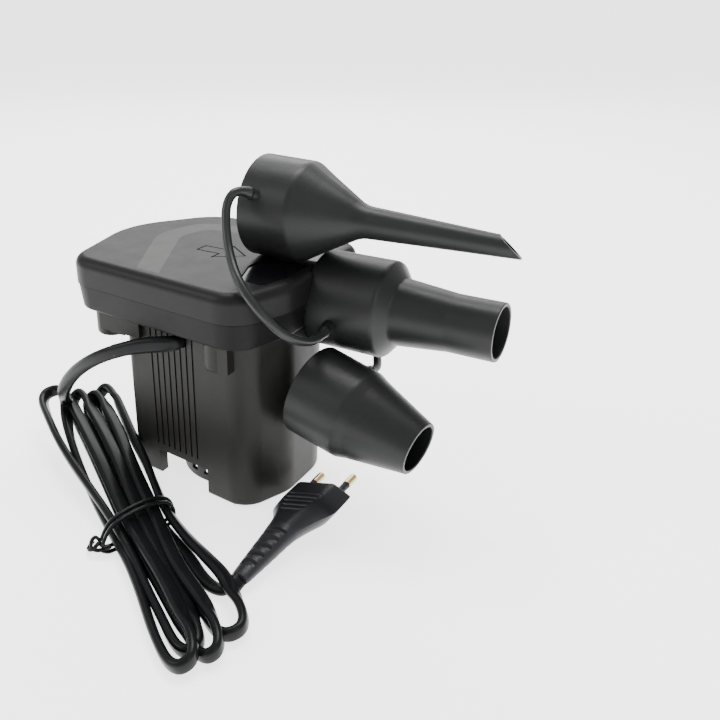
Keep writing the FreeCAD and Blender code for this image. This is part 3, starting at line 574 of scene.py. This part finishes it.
def metal(name, colour, rough, brushed=None, scale=900):
    n = Nodes(name)
    n.colour(n.ramp(n.noise(220, 4), shade(colour, 0.86), shade(colour, 1.08)))
    fine = n.wave(scale, brushed, 2.0) if brushed else n.noise(scale, 3)
    n.rough(n.span(n.noise(500, 4), rough - 0.06, rough + 0.08))
    n.normal(n.bump(fine, 0.01, 0.35))
    return n.set(Metallic=1.0)


def winding_material():
    n = Nodes("enamelled_copper")
    wires = n.wave(520, "Z", 1.2)
    n.colour(n.ramp(wires, (0.16, 0.045, 0.015), (0.62, 0.22, 0.07), 0.2, 0.8))
    n.normal(n.bump(wires, 0.25, 0.8))
    return n.set(Metallic=0.85, Roughness=0.32)


def laminated_material():
    n = Nodes("laminated_steel")
    sheets = n.wave(330, "Z")
    n.colour(n.ramp(sheets, (0.09, 0.09, 0.1), (0.34, 0.34, 0.35), 0.15, 0.5))
    n.normal(n.bump(sheets, 0.12, 0.7))
    return n.set(Metallic=0.9, Roughness=0.42)


def board_material():
    n = Nodes("paper_laminate")
    n.colour(n.ramp(n.noise(420, 5), (0.30, 0.19, 0.07), (0.46, 0.31, 0.13)))
    n.normal(n.bump(n.wave(260, "Z"), 0.05, 0.4))
    return n.set(Roughness=0.4)


def make_materials():
    housing = plastic("housing_plastic", (0.0085, 0.0085, 0.0072), 0.42, gloss=0.18)
    # The tray's plastic is a darker copy of the same black plastic: painted shade on the tray's sides
    tray = plastic("tray_plastic_painted_shade", (0.0045, 0.0045, 0.0045), 0.44, gloss=0.12)
    cover = plastic("cover_plastic", (0.0075, 0.0075, 0.0075), 0.42, gloss=0.15)
    band = plastic("band_plastic", (0.024, 0.024, 0.023), 0.42, 0.012, gloss=0.2)
    # The outlet panel is darker and bluer than the cover: partly its own glossy inlay, partly painted
    # shadow of the upper nozzle
    panel = plastic("panel_plastic", (0.006, 0.006, 0.008), 0.16, 0.004)
    nozzle = plastic("nozzle_plastic", (0.0105, 0.0108, 0.011), 0.40, 0.07, 0.15, 1500)
    strap_rubber = rubber("strap_rubber", (0.011, 0.012, 0.012), 0.33)
    cord = rubber("cord_vinyl", (0.0060, 0.0062, 0.0068), 0.30, 0.008, 0.12)
    # The plug vinyl is lighter and bluer than the other black plastics: partly its own grey, partly
    # painted sheen from its face
    plug = plastic("plug_vinyl", (0.016, 0.016, 0.019), 0.40, 0.05, 0.15, 1800)
    dark = plastic("dark_plastic", (0.012, 0.012, 0.012), 0.5)
    soft = rubber("soft_rubber", (0.012, 0.012, 0.012), 0.62)
    steel = metal("plated_steel", (0.62, 0.62, 0.60), 0.3)
    can = metal("drawn_can", (0.58, 0.57, 0.54), 0.34, "Z", 600)
    shaft = metal("ground_shaft", (0.66, 0.66, 0.67), 0.2, "Z", 1500)
    bronze = metal("sintered_bronze", (0.55, 0.36, 0.18), 0.5)
    brass = metal("plug_brass", (0.62, 0.48, 0.25), 0.24, "Y", 1300)
    copper = metal("turned_copper", (0.72, 0.38, 0.22), 0.3, "Z", 1200)
    aluminium = metal("satin_aluminium", (0.75, 0.75, 0.76), 0.35)
    ferrite = plastic("ferrite", (0.03, 0.03, 0.033), 0.6, 0.06)
    carbon = plastic("carbon", (0.02, 0.02, 0.02), 0.7, 0.06)
    nylon = plastic("nylon", (0.52, 0.52, 0.48), 0.45)
    film = plastic("film_capacitor", (0.42, 0.28, 0.04), 0.28, 0.006)
    wire = rubber("wire_insulation", (0.03, 0.06, 0.22), 0.35)
    return {
        "motor_housing": housing, "head_tray": tray, "inlet_grille": dark,
        "board_posts": housing, "top_cover": cover, "cover_band": band,
        "outlet_panel": panel, "stepped_nozzle": nozzle, "needle_nozzle": nozzle,
        "cone_nozzle": nozzle, "needle_strap": strap_rubber, "cone_strap": strap_rubber,
        "cord_boot": cord, "cord_lead": cord, "cord_hank": cord, "cord_tie": cord,
        "plug_relief": plug, "plug_body": plug, "pin_sleeves": dark, "plug_pins": brass,
        "head_gasket": soft, "foot_pads": soft, "cover_screws": steel, "motor_screws": steel,
        "bracket_screws": steel, "impeller_nut": steel, "brush_springs": steel,
        "motor_bracket": steel, "motor_can": can, "motor_end_bell": dark,
        "field_magnets": ferrite, "upper_bearing": bronze, "lower_bearing": bronze,
        "brush_holders": brass, "carbon_brushes": carbon, "motor_shaft": shaft,
        "armature_core": laminated_material(), "armature_winding": winding_material(),
        "commutator": copper, "impeller": nylon, "rectifier_board": board_material(),
        "bridge_diodes": dark, "suppression_capacitor": film, "thermal_fuse": aluminium,
        "mains_wires": wire, "motor_wires": wire,
    }


def give(obj, material):
    obj.data.materials.clear()
    obj.data.materials.append(material)


# Camera, floor and lights

def add_camera():
    right = Vector(CAMERA_RIGHT)
    up = Vector(CAMERA_UP)
    back = right.cross(up).normalized()
    up = back.cross(right).normalized()
    data = bpy.data.cameras.new("camera")
    data.lens = CAMERA_LENS
    data.sensor_width = 36
    data.shift_x, data.shift_y = CAMERA_SHIFT
    data.clip_start = 0.01
    data.clip_end = 50
    camera = bpy.data.objects.new("camera", data)
    turn = Matrix((right.normalized(), up, back)).transposed().to_4x4()
    camera.matrix_world = Matrix.Translation(Vector(CAMERA_PLACE)) @ turn
    bpy.context.scene.collection.objects.link(camera)
    bpy.context.scene.camera = camera


def add_floor():
    reach = 12.0
    corners = [(-reach, -reach, 0), (reach, -reach, 0), (reach, reach, 0), (-reach, reach, 0)]
    floor = mesh_object("floor", corners, [(0, 1, 2, 3)], smooth=False)
    n = Nodes("pale_floor")
    n.colour(n.ramp(n.noise(3, 2), (0.86, 0.86, 0.86), (0.88, 0.88, 0.88)))
    give(floor, n.set(Roughness=0.7, Emission_Color=(1, 1, 1, 1), Emission_Strength=2.3))


def area_light(name, place, aim, size, power):
    data = bpy.data.lights.new(name, "AREA")
    data.shape = "RECTANGLE"
    data.size, data.size_y = size
    data.energy = power
    light = bpy.data.objects.new(name, data)
    light.location = place
    way = Vector(aim) - Vector(place)
    light.rotation_euler = way.to_track_quat("-Z", "Y").to_euler()
    bpy.context.scene.collection.objects.link(light)


def add_lights():
    area_light("overhead", (-0.1, 0.35, 1.3), (0, 0, 0.05), (0.9, 0.5), 18)
    area_light("left", (-0.9, -0.8, 0.9), (0, 0, 0.05), (0.5, 0.5), 6)
    area_light("right", (1.1, -0.5, 0.7), (0, 0, 0.05), (0.4, 0.7), 3)
    area_light("back", (-0.55, 1.0, 0.75), (0, 0, 0.05), (1.2, 0.5), 9)
    world = bpy.data.worlds.new("studio")
    world.use_nodes = True
    world.node_tree.nodes["Background"].inputs["Color"].default_value = (1, 1, 1, 1)
    world.node_tree.nodes["Background"].inputs["Strength"].default_value = 0.8
    bpy.context.scene.world = world


add_camera()
add_floor()
add_lights()

materials = make_materials()
for node_name, node in nodes.items():
    give(node, materials[node_name])

cord_piece, cord_line = mains_cord()
give(cord_piece, materials["cord_lead"])
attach(cord_piece, "pump")
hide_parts("cord_lead", "cord_hank")

sleeve = cord_sleeve()
give(sleeve, materials["cord_boot"])
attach(sleeve, "pump")
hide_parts("cord_boot")

plug = mains_plug()
give(plug, materials["plug_body"])
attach(plug, "pump")
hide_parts("plug_body", "plug_relief")

tie = wire_tie()
give(tie, materials["cord_tie"])
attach(tie, "pump")
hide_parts("cord_tie")

needle_strap = strap("needle_tether", NEEDLE_STRAP_ROUTE)
give(needle_strap, materials["needle_strap"])
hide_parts("needle_strap")
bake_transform(needle_strap)

cone_strap = strap("cone_tether", CONE_STRAP_ROUTE)
give(cone_strap, materials["cone_strap"])
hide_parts("cone_strap")
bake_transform(cone_strap)
